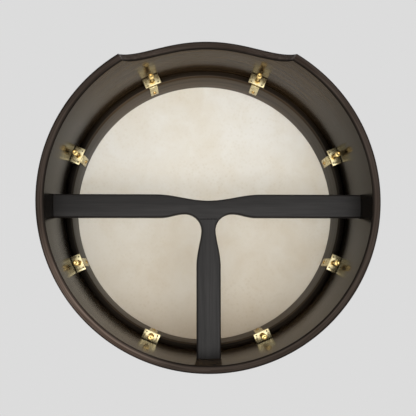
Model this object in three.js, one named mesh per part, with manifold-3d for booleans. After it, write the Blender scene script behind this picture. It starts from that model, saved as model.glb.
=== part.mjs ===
// A tunable 18 inch bodhran, standing upright with its open back facing -Y and its skin facing +Y.
// Millimetres, +Z up. The drum axis is Y. The origin is on that axis, in the back face of the T-bar.
// Eight tuning stations sit round the inside of the shell. At each one a bracket on the wall holds a
// socket screw, parallel to the drum axis, that pushes the tuning ring forward into the skin.

import * as THREE from "three";
import { mergeVertices } from "three/addons/utils/BufferGeometryUtils.js";
import Module from "manifold-3d";

const wasm = await Module();
wasm.setup();

// Fits and facets.
const GAP = 0.3; // between solids that touch
const CLEAR = 1; // how far a cutting tool stands out of the face it starts from
const ROUND_SEGMENTS = 64; // round the drum
const SCREW_SEGMENTS = 10; // round a screw or a hole

// Shell: a bent wooden hoop with a scoop cut out of the top of its back edge for the player's arm.
const SHELL_OUTER_R = 228.6;
const SHELL_WALL = 11;
const SHELL_INNER_R = SHELL_OUTER_R - SHELL_WALL;
const SHELL_DEPTH = 152.4;
const SHELL_BACK_Y = -44;
const SHELL_FRONT_Y = SHELL_BACK_Y + SHELL_DEPTH;
const SHELL_EDGE_ROUND = 2.5;
const SCOOP_HALF_WIDTH = 118.8;
const SCOOP_DEPTH = 36.2;
const SCOOP_FLATNESS = 5;
const SCOOP_END_POWER = 0.85;
const SCOOP_TURN_DEG = -0.67;
const SCOOP_STEPS = 24;
const SCOOP_CUTTER = { behind: 10, fromZ: 100, height: 200 };
const SHELL_PILOT_DEPTH = 8;

// T-bar: a crossbar and a stem of one thickness, held by one screw at each end.
const BAR_THICKNESS = 14;
const BAR_EDGE_ROUND = 3;
const BAR_TOP_Z = 14.8;
const BAR_BOTTOM_Z = -18.3;
const DIP_DEPTH = 8.8;
const DIP_HALF_WIDTH = 75;
const ARCH_R = 23.7;
const ARCH_X = 33.7;
const ARCH_Z = -36.7;
const ARCH_RUNOUT_X = 68;
const NECK_HALF_WIDTH = ARCH_X - ARCH_R;
const STEM_HALF_WIDTH = 17.2;
const STEM_FULL_Z = -88;
const BAR_SEAM_Z = -21;
const BAR_END_R = SHELL_INNER_R - GAP;
const BAR_SCREW_R = 2.2;
const BAR_SCREW_HEAD_R = 4.4;
const BAR_SCREW_LENGTH = 32;
const BAR_SCREW_SUNK = 1; // its head below the shell's outside

// Tuning ring: a hoop that slides inside the shell and carries the skin on its front edge.
const RING_OUTER_R = 216.1;
const RING_INNER_R = 207;
const RING_BACK_Y = 65.3;
const RING_PROUD = 2; // how far the ring's front edge stands in front of the shell's, with the skin taut
const RING_FRONT_Y = SHELL_FRONT_Y + RING_PROUD;
const RING_ROUND = 4;
const RING_PILOT_SKIN = 1.5; // wood left outside a plate screw's pilot hole

// Skin: glued and tacked round the outside of the shell, stretched over its front edge.
const SKIN_THICKNESS = 1.2;
const HEAD_BACK_Y = RING_FRONT_Y + GAP;
const HEAD_FRONT_Y = HEAD_BACK_Y + SKIN_THICKNESS;
const HEAD_R = 216.9;
const SKIRT_BACK_Y = SHELL_FRONT_Y + GAP;
const SKIRT_FRONT_Y = SKIRT_BACK_Y + SKIN_THICKNESS;
const SKIRT_INNER_R = SHELL_OUTER_R + GAP;
const SKIRT_OUTER_R = SKIRT_INNER_R + SKIN_THICKNESS;
const SKIRT_LENGTH = 32;
const TRIM_INNER_R = SKIRT_OUTER_R + GAP;
const TRIM_THICKNESS = 1.2;
const TRIM_WIDTH = 14;
const TRIM_FRONT_Y = SHELL_FRONT_Y - 14;

// Tuning stations, each within three degrees of even spacing. Angles run clockwise from +Z.
const STATION_DEGS = [21.6, 67.8, 113.4, 156.6, 203.8, 246.9, 292.2, 336.6];
const TUNING_SCREW_RADIUS = 208.5; // from the drum axis to the screw's axis

// Bracket: an L of brass strip, one leg on the wall and one plate across the screw.
const BRACKET_WIDTH = 25;
const BRACKET_THICKNESS = 2.5;
const BRACKET_WALL_Z = 216.7;
const BRACKET_LEG_INNER_Z = BRACKET_WALL_Z - BRACKET_THICKNESS;
const BRACKET_INNER_Z = 202.4;
const BRACKET_BACK_Y = 45;
const BRACKET_LEG_LENGTH = 16;
const BRACKET_CORNER_HOLE_R = 1.2;
const BRACKET_CORNER_HOLE_X = 8.6;
const BRACKET_CORNER_HOLE_Z = BRACKET_INNER_Z + 2.8;
const BRACKET_SCREW_Y = BRACKET_BACK_Y + 9.5;
const BRACKET_SCREW_LENGTH = 10;

// M5 tuning hardware.
const M5_R = 2.5;
const M5_CLEARANCE_R = 2.8;
const CAP_HEAD_R = 4.25;
const CAP_HEAD_HEIGHT = 5;
const CAP_SOCKET_R = 2.3;
const CAP_SOCKET_DEPTH = 2.5;
const NUT_ACROSS_FLATS = 8;
const NUT_HEIGHT = 4;
const NUT_FRONT_Y = BRACKET_BACK_Y - GAP;

// Ring plate: a small L hooked over the ring's back edge, which takes the screw's push.
const RING_PLATE_WIDTH = 13;
const RING_PLATE_OUTER_Z = 206.4;
const RING_PLATE_THICKNESS = 1.5;
const RING_PLATE_INNER_Z = RING_PLATE_OUTER_Z - RING_PLATE_THICKNESS;
const RING_PLATE_LENGTH = 30;
const LIP_THICKNESS = 1.8;
const LIP_OUTER_Z = 213.5;
const LIP_BACK_Y = RING_BACK_Y - GAP - LIP_THICKNESS;
const RING_SCREW_Y = LIP_BACK_Y + 20;
const RING_SCREW_LENGTH = 8.5;

// A tuning screw runs from behind the bracket to the ring plate's lip.
const TUNING_SCREW_TIP_Y = LIP_BACK_Y - GAP;
const TUNING_SCREW_LENGTH = 40;
const TUNING_SCREW_HEAD_Y = TUNING_SCREW_TIP_Y - TUNING_SCREW_LENGTH;

// Small round-headed wood screws.
const WOOD_SCREW_R = 1.5;
const WOOD_SCREW_HOLE_R = 1.8;
const WOOD_SCREW_HEAD_R = 2.9;
const WOOD_SCREW_HEAD_HEIGHT = 1.7;

const material = (color, roughness, metalness) =>
  new THREE.MeshStandardMaterial({ color, roughness, metalness });
const shellStain = material(0x4a4540, 0.35, 0);
const barStain = material(0x3b3a38, 0.5, 0);
const ringStain = material(0x4f4a45, 0.4, 0);
const goatskin = material(0xded6c6, 0.7, 0);
const trimLeather = material(0x241f1c, 0.7, 0);
const brassPlate = material(0xcdbf95, 0.35, 1);
const brassScrew = material(0xd9b35c, 0.3, 1);
const steelScrew = material(0x3a3836, 0.4, 1);

// ---- Solids and how they join ----

function signedVolume(geometry) {
  const position = geometry.attributes.position;
  const corners = [new THREE.Vector3(), new THREE.Vector3(), new THREE.Vector3()];
  let sum = 0;
  for (let i = 0; i < geometry.index.count; i += 3) {
    corners.forEach((corner, k) => corner.fromBufferAttribute(position, geometry.index.getX(i + k)));
    sum += corners[0].dot(corners[1].cross(corners[2])) / 6;
  }
  return sum;
}

// Merges shared vertices, drops triangles of no area and turns the faces outwards.
function closed(source) {
  const bare = source.clone();
  bare.deleteAttribute("normal");
  bare.deleteAttribute("uv");
  const merged = mergeVertices(bare);
  const corners = Array.from(merged.index.array);
  const kept = [];
  for (let i = 0; i < corners.length; i += 3) {
    const [a, b, c] = corners.slice(i, i + 3);
    if (a !== b && b !== c && c !== a) kept.push(a, b, c);
  }
  merged.setIndex(kept);
  if (signedVolume(merged) < 0) merged.setIndex(kept.reverse());
  return merged;
}

function solid(geometry) {
  const shape = closed(geometry);
  const vertProperties = new Float32Array(shape.attributes.position.array);
  const triVerts = new Uint32Array(shape.index.array);
  return new wasm.Manifold(new wasm.Mesh({ numProp: 3, vertProperties, triVerts }));
}

function geometryOf(manifold) {
  const { vertProperties, triVerts } = manifold.getMesh();
  const geometry = new THREE.BufferGeometry();
  geometry.setAttribute("position", new THREE.BufferAttribute(vertProperties, 3));
  geometry.setIndex(new THREE.BufferAttribute(triVerts, 1));
  return geometry;
}

// The body with every one of the tools cut out of it.
function cut(body, tools) {
  let result = solid(body);
  for (const tool of tools) result = result.subtract(solid(tool));
  return geometryOf(result);
}

function mesh(name, geometry, look) {
  const faceted = closed(geometry).toNonIndexed();
  faceted.computeVertexNormals();
  const part = new THREE.Mesh(faceted, look);
  part.name = name;
  return part;
}

// ---- Shapes ----

// Revolves a closed outline of [radius, y] points about the Y axis.
function revolve(outline, segments = ROUND_SEGMENTS) {
  const points = [...outline, outline[0]].map(([radius, y]) => new THREE.Vector2(radius, y));
  return new THREE.LatheGeometry(points, segments);
}

// Points of a quarter circle about [x, y], from one angle to another.
function arc(x, y, radius, from, to, steps) {
  return Array.from({ length: steps + 1 }, (_, i) => {
    const angle = from + ((to - from) * i) / steps;
    return [x + radius * Math.cos(angle), y + radius * Math.sin(angle)];
  });
}

// The section of a hoop whose two back corners are rounded.
function hoopSection(innerR, outerR, backY, frontY, outerRound, innerRound) {
  return [
    [innerR, frontY],
    [outerR, frontY],
    ...arc(outerR - outerRound, backY + outerRound, outerRound, 0, -Math.PI / 2, 2),
    ...arc(innerR + innerRound, backY + innerRound, innerRound, -Math.PI / 2, -Math.PI, 2),
  ];
}

// A rod along Y with its middle on the Y axis.
function rod(radius, fromY, toY, segments = SCREW_SEGMENTS) {
  const cylinder = new THREE.CylinderGeometry(radius, radius, toY - fromY, segments);
  return cylinder.translate(0, (fromY + toY) / 2, 0);
}

// A rod along Z, at a height of the drum axis.
function radialRod(radius, fromZ, toZ, y = 0) {
  return rod(radius, fromZ, toZ).rotateX(Math.PI / 2).translate(0, y, 0);
}

// A flat outline of [x, z] points, made into a plate from y = 0 forwards, with rounded edges.
function plate(outline, thickness, edgeRound) {
  const shape = new THREE.Shape(outline.map(([x, z]) => new THREE.Vector2(x, z)));
  const settings = {
    depth: thickness - 2 * edgeRound,
    bevelEnabled: edgeRound > 0,
    bevelThickness: edgeRound,
    bevelSize: edgeRound,
    bevelOffset: -edgeRound,
    bevelSegments: 2,
  };
  const board = new THREE.ExtrudeGeometry(shape, settings);
  return board.rotateX(Math.PI / 2).translate(0, thickness - edgeRound, 0);
}

// An L of two strips, width wide across X: [z, y] outline in the plane of the drum axis.
function angleStrip(outline, width) {
  const shape = new THREE.Shape(outline.map(([z, y]) => new THREE.Vector2(z, y)));
  const strip = new THREE.ExtrudeGeometry(shape, { depth: width, bevelEnabled: false });
  return strip.rotateY(-Math.PI / 2).translate(width / 2, 0, 0);
}

// ---- Shell and skin ----

// How far the scoop goes in from the back edge, at a distance x from the top of the drum.
function scoopDepth(x) {
  const share = Math.abs(x) / SCOOP_HALF_WIDTH;
  return SCOOP_DEPTH * Math.max(0, 1 - share ** SCOOP_FLATNESS) ** SCOOP_END_POWER;
}

function scoopCutter() {
  const { behind, fromZ, height } = SCOOP_CUTTER;
  const openY = SHELL_BACK_Y - behind;
  const curve = Array.from({ length: SCOOP_STEPS + 1 }, (_, i) => {
    const x = SCOOP_HALF_WIDTH * Math.sin(Math.PI * (i / SCOOP_STEPS - 0.5));
    return new THREE.Vector2(x, SHELL_BACK_Y + scoopDepth(x));
  });
  curve.push(new THREE.Vector2(SCOOP_HALF_WIDTH, openY), new THREE.Vector2(-SCOOP_HALF_WIDTH, openY));
  const block = new THREE.ExtrudeGeometry(new THREE.Shape(curve), { depth: height, bevelEnabled: false });
  return block.translate(0, 0, fromZ).rotateY(THREE.MathUtils.degToRad(SCOOP_TURN_DEG));
}

// Angles at which the T-bar meets the wall: right, bottom and left.
const BAR_END_ANGLES = { right: Math.PI / 2, bottom: Math.PI, left: -Math.PI / 2 };
const BAR_SCREW_Y = BAR_THICKNESS / 2;

// The two ends of the crossbar are screwed through the middle of the bar's height.
const barScrewLift = (end) => (end === "bottom" ? 0 : (BAR_TOP_Z + BAR_BOTTOM_Z) / 2);

function barScrewGeometry(grow) {
  const headR = BAR_SCREW_HEAD_R + grow;
  const shankR = BAR_SCREW_R + grow;
  const length = BAR_SCREW_LENGTH + grow;
  const headDepth = BAR_SCREW_HEAD_R - BAR_SCREW_R;
  const outline = [[0, 0], [headR, 0], [shankR, -headDepth], [shankR, -length], [0, -length]];
  return revolve(outline, SCREW_SEGMENTS).rotateX(Math.PI / 2).translate(0, BAR_SCREW_Y, 0);
}

// Turns a screw that points along -Z to the given end of the T-bar, its head just under the surface.
function toBarEnd(geometry, end) {
  const headR = SHELL_OUTER_R - BAR_SCREW_SUNK;
  const placed = geometry.translate(0, 0, headR).rotateY(BAR_END_ANGLES[end]);
  return placed.translate(0, 0, barScrewLift(end));
}

function barScrewHole(end) {
  const fromR = SHELL_OUTER_R - BAR_SCREW_SUNK;
  const open = radialRod(BAR_SCREW_HEAD_R + GAP, fromR, SHELL_OUTER_R + CLEAR, BAR_SCREW_Y);
  const mouth = open.rotateY(BAR_END_ANGLES[end]).translate(0, 0, barScrewLift(end));
  return [toBarEnd(barScrewGeometry(GAP), end), mouth];
}

const stationAngles = STATION_DEGS.map(THREE.MathUtils.degToRad);

function frameShell() {
  const section = hoopSection(
    SHELL_INNER_R, SHELL_OUTER_R, SHELL_BACK_Y, SHELL_FRONT_Y, SHELL_EDGE_ROUND, SHELL_EDGE_ROUND);
  const pilots = stationAngles.map((angle) =>
    radialRod(WOOD_SCREW_HOLE_R, SHELL_INNER_R - CLEAR, SHELL_INNER_R + SHELL_PILOT_DEPTH, BRACKET_SCREW_Y)
      .rotateY(angle));
  const barHoles = Object.keys(BAR_END_ANGLES).flatMap(barScrewHole);
  return cut(revolve(section), [scoopCutter(), ...pilots, ...barHoles]);
}

function skinHead() {
  return revolve([[0, HEAD_BACK_Y], [HEAD_R, HEAD_BACK_Y], [HEAD_R, HEAD_FRONT_Y], [0, HEAD_FRONT_Y]]);
}

function skinSkirt() {
  const hemY = SHELL_FRONT_Y - SKIRT_LENGTH;
  return revolve([
    [HEAD_R + GAP, SKIRT_BACK_Y],
    [SKIRT_INNER_R, SKIRT_BACK_Y],
    [SKIRT_INNER_R, hemY],
    [SKIRT_OUTER_R, hemY],
    [SKIRT_OUTER_R, SKIRT_FRONT_Y],
    [HEAD_R + GAP, SKIRT_FRONT_Y],
  ]);
}

function trimBand() {
  const outerR = TRIM_INNER_R + TRIM_THICKNESS;
  const backY = TRIM_FRONT_Y - TRIM_WIDTH;
  return revolve([
    [TRIM_INNER_R, backY],
    [outerR, backY],
    [outerR, TRIM_FRONT_Y],
    [TRIM_INNER_R, TRIM_FRONT_Y],
  ]);
}

// ---- T-bar ----

// Height of the crossbar's top edge, which dips where the player's thumb lies.
function barTop(x) {
  const dip = Math.abs(x) < DIP_HALF_WIDTH ? (1 + Math.cos((Math.PI * x) / DIP_HALF_WIDTH)) / 2 : 0;
  return BAR_TOP_Z - DIP_DEPTH * dip;
}

// Half of the T's lower outline, from the end of the crossbar round the arch and down the stem.
function underside() {
  const archTop = ARCH_Z + ARCH_R;
  const runout = Array.from({ length: 7 }, (_, i) => {
    const t = i / 6;
    const lift = (1 - Math.cos(Math.PI * t)) / 2;
    return [ARCH_RUNOUT_X + (ARCH_X - ARCH_RUNOUT_X) * t, BAR_BOTTOM_Z + (archTop - BAR_BOTTOM_Z) * lift];
  });
  const quarter = arc(ARCH_X, ARCH_Z, ARCH_R, Math.PI / 2, Math.PI, 8).slice(1);
  const flare = Array.from({ length: 6 }, (_, i) => {
    const t = (i + 1) / 6;
    const widen = Math.sin((Math.PI / 2) * t) ** 1.5;
    const x = NECK_HALF_WIDTH + (STEM_HALF_WIDTH - NECK_HALF_WIDTH) * widen;
    return [x, ARCH_Z + (STEM_FULL_Z - ARCH_Z) * t];
  });
  return [[SHELL_OUTER_R, BAR_BOTTOM_Z], ...runout, ...quarter, ...flare, [STEM_HALF_WIDTH, -SHELL_OUTER_R]];
}

function tBar() {
  const right = underside();
  const left = right.map(([x, z]) => [-x, z]).reverse();
  const dip = Array.from({ length: 17 }, (_, i) => {
    const x = DIP_HALF_WIDTH * (i / 8 - 1);
    return [x, barTop(x)];
  });
  const top = [[-SHELL_OUTER_R, BAR_TOP_Z], ...dip, [SHELL_OUTER_R, BAR_TOP_Z]];
  const body = solid(plate([...top, ...right, ...left], BAR_THICKNESS, BAR_EDGE_ROUND));
  const inside = solid(rod(BAR_END_R, -CLEAR, BAR_THICKNESS + CLEAR, ROUND_SEGMENTS));
  const holes = Object.keys(BAR_END_ANGLES).map((end) => toBarEnd(barScrewGeometry(GAP), end));
  return cut(geometryOf(body.intersect(inside)), holes);
}

// The half of the T-bar above or below the seam where the stem is glued to the crossbar.
function tBarHalf(whole, below) {
  const size = 2 * SHELL_OUTER_R;
  const middle = BAR_SEAM_Z + (below ? -1 : 1) * (size + GAP) / 2;
  const half = new THREE.BoxGeometry(size, size, size).translate(0, 0, middle);
  return geometryOf(solid(whole).intersect(solid(half)));
}

// ---- One tuning station, at the top of the drum: X across it, Y forward and Z outward ----

function bracket() {
  const frontY = BRACKET_BACK_Y + BRACKET_THICKNESS;
  const legY = BRACKET_BACK_Y + BRACKET_LEG_LENGTH;
  const outline = [
    [BRACKET_INNER_Z, BRACKET_BACK_Y],
    [BRACKET_WALL_Z, BRACKET_BACK_Y],
    [BRACKET_WALL_Z, legY],
    [BRACKET_LEG_INNER_Z, legY],
    [BRACKET_LEG_INNER_Z, frontY],
    [BRACKET_INNER_Z, frontY],
  ];
  const through = (radius, x, z) => rod(radius, BRACKET_BACK_Y - CLEAR, frontY + CLEAR).translate(x, 0, z);
  return cut(angleStrip(outline, BRACKET_WIDTH), [
    through(M5_CLEARANCE_R, 0, TUNING_SCREW_RADIUS),
    through(BRACKET_CORNER_HOLE_R, BRACKET_CORNER_HOLE_X, BRACKET_CORNER_HOLE_Z),
    through(BRACKET_CORNER_HOLE_R, -BRACKET_CORNER_HOLE_X, BRACKET_CORNER_HOLE_Z),
    radialRod(WOOD_SCREW_HOLE_R, BRACKET_LEG_INNER_Z - CLEAR, BRACKET_WALL_Z + CLEAR, BRACKET_SCREW_Y),
  ]);
}

function nut() {
  const cornerR = NUT_ACROSS_FLATS / 2 / Math.cos(Math.PI / 6);
  const backY = NUT_FRONT_Y - NUT_HEIGHT;
  const hexagon = rod(cornerR, backY, NUT_FRONT_Y, 6);
  const bored = cut(hexagon, [rod(M5_CLEARANCE_R, backY - CLEAR, NUT_FRONT_Y + CLEAR)]);
  return bored.translate(0, 0, TUNING_SCREW_RADIUS);
}

function tuningScrew() {
  const neckY = TUNING_SCREW_HEAD_Y + CAP_HEAD_HEIGHT;
  const chamfer = 0.6;
  const body = revolve([
    [0, TUNING_SCREW_HEAD_Y],
    [CAP_HEAD_R - chamfer, TUNING_SCREW_HEAD_Y],
    [CAP_HEAD_R, TUNING_SCREW_HEAD_Y + chamfer],
    [CAP_HEAD_R, neckY],
    [M5_R, neckY],
    [M5_R, TUNING_SCREW_TIP_Y - chamfer],
    [M5_R - chamfer, TUNING_SCREW_TIP_Y],
    [0, TUNING_SCREW_TIP_Y],
  ], SCREW_SEGMENTS);
  const socket = rod(CAP_SOCKET_R, TUNING_SCREW_HEAD_Y - CLEAR, TUNING_SCREW_HEAD_Y + CAP_SOCKET_DEPTH, 6);
  return cut(body, [socket]).translate(0, 0, TUNING_SCREW_RADIUS);
}

function ringPlate() {
  const endY = LIP_BACK_Y + RING_PLATE_LENGTH;
  const outline = [
    [RING_PLATE_INNER_Z, LIP_BACK_Y],
    [LIP_OUTER_Z, LIP_BACK_Y],
    [LIP_OUTER_Z, LIP_BACK_Y + LIP_THICKNESS],
    [RING_PLATE_OUTER_Z, LIP_BACK_Y + LIP_THICKNESS],
    [RING_PLATE_OUTER_Z, endY],
    [RING_PLATE_INNER_Z, endY],
  ];
  const fromZ = RING_PLATE_INNER_Z - CLEAR;
  const hole = radialRod(WOOD_SCREW_HOLE_R, fromZ, RING_PLATE_OUTER_Z + CLEAR, RING_SCREW_Y);
  return cut(angleStrip(outline, RING_PLATE_WIDTH), [hole]);
}

// A round-headed screw at height y: its head rests at seatZ and its shank runs outward.
function woodScrew(seatZ, length, y) {
  const headZ = seatZ - GAP;
  const headR = WOOD_SCREW_HEAD_R;
  return revolve([
    [0, headZ - WOOD_SCREW_HEAD_HEIGHT],
    [headR * 0.7, headZ - WOOD_SCREW_HEAD_HEIGHT * 0.75],
    [headR, headZ - 0.4],
    [headR, headZ],
    [WOOD_SCREW_R, headZ],
    [WOOD_SCREW_R, headZ + length - 2],
    [0, headZ + length],
  ], SCREW_SEGMENTS).rotateX(Math.PI / 2).translate(0, y, 0);
}

function tuningRing() {
  const section = hoopSection(RING_INNER_R, RING_OUTER_R, RING_BACK_Y, RING_FRONT_Y, 1, RING_ROUND);
  const pilots = stationAngles.map((angle) =>
    radialRod(WOOD_SCREW_HOLE_R, RING_INNER_R - CLEAR, RING_OUTER_R - RING_PILOT_SKIN, RING_SCREW_Y)
      .rotateY(angle));
  return cut(revolve(section), pilots);
}

// ---- The assembly ----

const bodhran = new THREE.Group();
bodhran.add(
  mesh("frame_shell", frameShell(), shellStain),
  mesh("skin_head", skinHead(), goatskin),
  mesh("skin_skirt", skinSkirt(), goatskin),
  mesh("skin_trim_band", trimBand(), trimLeather),
  mesh("tuning_ring", tuningRing(), ringStain),
);

const wholeTBar = tBar();
bodhran.add(
  mesh("t_bar_crossbar", tBarHalf(wholeTBar, false), barStain),
  mesh("t_bar_stem", tBarHalf(wholeTBar, true), barStain),
);
for (const end of Object.keys(BAR_END_ANGLES)) {
  bodhran.add(mesh(`t_bar_screw_${end}`, toBarEnd(barScrewGeometry(0), end), steelScrew));
}

stationAngles.forEach((angle, i) => {
  const station = new THREE.Group();
  station.rotation.y = angle;
  const bracketScrew = woodScrew(BRACKET_LEG_INNER_Z, BRACKET_SCREW_LENGTH, BRACKET_SCREW_Y);
  const ringScrew = woodScrew(RING_PLATE_INNER_Z, RING_SCREW_LENGTH, RING_SCREW_Y);
  station.add(
    mesh(`bracket_${i + 1}`, bracket(), brassPlate),
    mesh(`bracket_screw_${i + 1}`, bracketScrew, brassScrew),
    mesh(`bracket_nut_${i + 1}`, nut(), brassScrew),
    mesh(`tuning_screw_${i + 1}`, tuningScrew(), brassScrew),
    mesh(`ring_plate_${i + 1}`, ringPlate(), brassPlate),
    mesh(`ring_plate_screw_${i + 1}`, ringScrew, brassScrew),
  );
  bodhran.add(station);
});

export default bodhran;
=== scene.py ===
"""The looks of a tunable bodhran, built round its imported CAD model.

Metres, in the CAD frame: the drum axis is Y, the open back faces -Y, the skin faces +Y and Z is up.
A station's own axes are X across it, Y forward and Z outward, and it is turned about Y into its place.
"""
import math

import bmesh
import bpy
from mathutils import Matrix, Vector, noise


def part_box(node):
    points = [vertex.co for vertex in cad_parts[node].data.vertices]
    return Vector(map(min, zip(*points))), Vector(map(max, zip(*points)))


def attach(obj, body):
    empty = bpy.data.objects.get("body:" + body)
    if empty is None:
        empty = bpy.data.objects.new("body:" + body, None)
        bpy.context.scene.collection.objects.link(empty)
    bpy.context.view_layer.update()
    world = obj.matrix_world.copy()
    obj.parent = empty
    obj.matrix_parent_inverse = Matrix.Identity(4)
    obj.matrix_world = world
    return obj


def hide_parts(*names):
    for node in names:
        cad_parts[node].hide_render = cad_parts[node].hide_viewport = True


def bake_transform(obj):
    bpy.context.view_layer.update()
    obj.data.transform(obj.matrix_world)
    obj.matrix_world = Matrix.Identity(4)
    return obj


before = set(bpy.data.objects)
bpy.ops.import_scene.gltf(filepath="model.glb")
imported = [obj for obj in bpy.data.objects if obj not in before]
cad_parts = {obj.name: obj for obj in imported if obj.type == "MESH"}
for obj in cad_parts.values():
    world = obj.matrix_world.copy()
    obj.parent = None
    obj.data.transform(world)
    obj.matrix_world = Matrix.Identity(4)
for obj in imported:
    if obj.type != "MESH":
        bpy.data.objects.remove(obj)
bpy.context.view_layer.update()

MM = 0.001

# ---- Sizes, from the CAD nodes where they say them ----

SHELL_LO, SHELL_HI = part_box("frame_shell")
SHELL_OUTER_R = SHELL_HI.x
SHELL_WALL = 11 * MM
SHELL_INNER_R = SHELL_OUTER_R - SHELL_WALL
SHELL_BACK_Y = SHELL_LO.y
SHELL_FRONT_Y = SHELL_HI.y
SHELL_EDGE_ROUND = 2.5 * MM
SCOOP_HALF_WIDTH = 118.8 * MM
SCOOP_DEPTH = 36.2 * MM
SCOOP_TURN = math.radians(-0.67)

RING_LO, RING_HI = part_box("tuning_ring")
RING_OUTER_R = RING_HI.x
RING_INNER_R = 207 * MM
RING_BACK_Y = RING_LO.y
RING_FRONT_Y = RING_HI.y

HEAD_LO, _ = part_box("skin_head")
SKIRT_LO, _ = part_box("skin_skirt")
TRIM_LO, TRIM_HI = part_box("skin_trim_band")

BAR_LO, BAR_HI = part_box("t_bar_crossbar")
STEM_LO, STEM_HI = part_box("t_bar_stem")

STATION_DEGS = [21.6, 67.8, 113.4, 156.6, 203.8, 246.9, 292.2, 336.6]
STATIONS = [(i + 1, math.radians(degrees)) for i, degrees in enumerate(STATION_DEGS)]
TUNING_SCREW_RADIUS = 208.5 * MM

# ---- Camera ----

PICTURE = 416
FOCAL_PIXELS = 471.7
SENSOR = 36.0


def make_camera():
    data = bpy.data.cameras.new("camera")
    data.sensor_width = SENSOR
    data.lens = SENSOR * FOCAL_PIXELS / PICTURE
    data.shift_x = 0.0137
    data.shift_y = 0.1193
    data.clip_start = 0.02
    camera = bpy.data.objects.new("camera", data)
    camera.location = (-30.8 * MM, SHELL_BACK_Y - 619.8 * MM, -84.1 * MM)
    yaw, pitch, roll = math.radians(1.88), math.radians(0.8), math.radians(-0.1)
    forward = Vector((math.sin(yaw) * math.cos(pitch), math.cos(yaw) * math.cos(pitch), math.sin(pitch)))
    camera.rotation_mode = "QUATERNION"
    facing = forward.to_track_quat("-Z", "Y")
    camera.rotation_quaternion = facing @ Matrix.Rotation(roll, 4, "Z").to_quaternion()
    bpy.context.scene.collection.objects.link(camera)
    bpy.context.scene.camera = camera


make_camera()

# ---- Mesh tools ----


def mesh_of(name, points, faces, sharp_deg=35):
    mesh = bpy.data.meshes.new(name)
    mesh.from_pydata([tuple(p) for p in points], [], faces)
    mesh.validate()
    finish_mesh(mesh, sharp_deg)
    return mesh


def finish_mesh(mesh, sharp_deg=35):
    """Faces out, smooth shading and a crease at each edge sharper than sharp_deg."""
    bm = bmesh.new()
    bm.from_mesh(mesh)
    bmesh.ops.remove_doubles(bm, verts=bm.verts, dist=1e-7)
    bmesh.ops.recalc_face_normals(bm, faces=bm.faces)
    bm.to_mesh(mesh)
    bm.free()
    mesh.shade_smooth()
    mesh.set_sharp_from_angle(angle=math.radians(sharp_deg))


def even_turns(count):
    return [2 * math.pi * i / count for i in range(count)]


def revolve(name, section, angles, place=None, sharp_deg=35):
    """Turns a closed section of (radius, y) points about Y. place(radius, y, angle, i) may move a point."""
    points, rows = [], len(section)
    for angle in angles:
        for i, (radius, y) in enumerate(section):
            r, v = place(radius, y, angle, i) if place else (radius, y)
            points.append((r * math.sin(angle), v, r * math.cos(angle)))
    faces = []
    for j in range(len(angles)):
        k = (j + 1) % len(angles)
        for i in range(rows):
            n = (i + 1) % rows
            faces.append((j * rows + i, j * rows + n, k * rows + n, k * rows + i))
    return mesh_of(name, points, faces, sharp_deg)


def spindle(name, outline, count, turn=None, sharp_deg=35):
    """Turns an open outline of (radius, y), which starts and ends on the axis, about Y."""
    points = [(0, outline[0][1], 0)]
    inner = outline[1:-1]
    angles = even_turns(count)
    for angle in angles:
        for radius, y in inner:
            r = turn(radius, y, angle) if turn else radius
            points.append((r * math.sin(angle), y, r * math.cos(angle)))
    points.append((0, outline[-1][1], 0))
    rows, last, faces = len(inner), len(points) - 1, []
    for j in range(count):
        a, b = 1 + j * rows, 1 + ((j + 1) % count) * rows
        faces.append((0, a, b))
        faces += [(a + i, a + i + 1, b + i + 1, b + i) for i in range(rows - 1)]
        faces.append((last, b + rows - 1, a + rows - 1))
    return mesh_of(name, points, faces, sharp_deg)


def arc(x, y, radius, start_deg, end_deg, steps):
    angles = [math.radians(start_deg + (end_deg - start_deg) * i / steps) for i in range(steps + 1)]
    return [(x + radius * math.cos(a), y + radius * math.sin(a)) for a in angles]


def prism(name, outline, depth, lift, keep_sharp, rounding, segments):
    """A flat outline of (x, z) points, made depth thick along Y, with rounded front and back edges."""
    bm = bmesh.new()
    back = [bm.verts.new((x, lift, z)) for x, z in outline]
    front = [bm.verts.new((x, lift + depth, z)) for x, z in outline]
    bm.faces.new(back)
    bm.faces.new(list(reversed(front)))
    edges = []
    for i in range(len(outline)):
        n = (i + 1) % len(outline)
        bm.faces.new((back[n], back[i], front[i], front[n]))
        if not (keep_sharp(outline[i]) and keep_sharp(outline[n])):
            edges += [bm.edges.get((back[i], back[n])), bm.edges.get((front[i], front[n]))]
    bmesh.ops.recalc_face_normals(bm, faces=bm.faces)
    bmesh.ops.bevel(bm, geom=edges, offset=rounding, segments=segments, affect="EDGES", profile=0.5)
    mesh = bpy.data.meshes.new(name)
    bm.to_mesh(mesh)
    bm.free()
    finish_mesh(mesh, 30)
    return mesh


def strip(name, outline, width, rounding, curve_r=None):
    """An outline of (z, y) points made width wide across X, every edge slightly rounded.

    With curve_r, what lies against the wall is bent to that radius.
    """
    bm = bmesh.new()
    wall_z = max(z for z, _ in outline)
    steps = 8 if curve_r else 1
    rows = []
    for k in range(steps + 1):
        x = width * (k / steps - 0.5)
        bend = math.sqrt(curve_r**2 - x * x) - wall_z if curve_r else 0.0
        rows.append([bm.verts.new((x, y, z + (bend if z > wall_z - 3 * MM else 0.0))) for z, y in outline])
    bm.faces.new(rows[0])
    bm.faces.new(list(reversed(rows[-1])))
    for left, right in zip(rows, rows[1:]):
        for i in range(len(outline)):
            n = (i + 1) % len(outline)
            bm.faces.new((left[n], left[i], right[i], right[n]))
    bmesh.ops.recalc_face_normals(bm, faces=bm.faces)
    sharp = [e for e in bm.edges if e.calc_face_angle(0) > math.radians(50)]
    bmesh.ops.bevel(bm, geom=sharp, offset=rounding, segments=2, affect="EDGES", profile=0.5)
    mesh = bpy.data.meshes.new(name)
    bm.to_mesh(mesh)
    bm.free()
    finish_mesh(mesh, 40)
    return mesh


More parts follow.
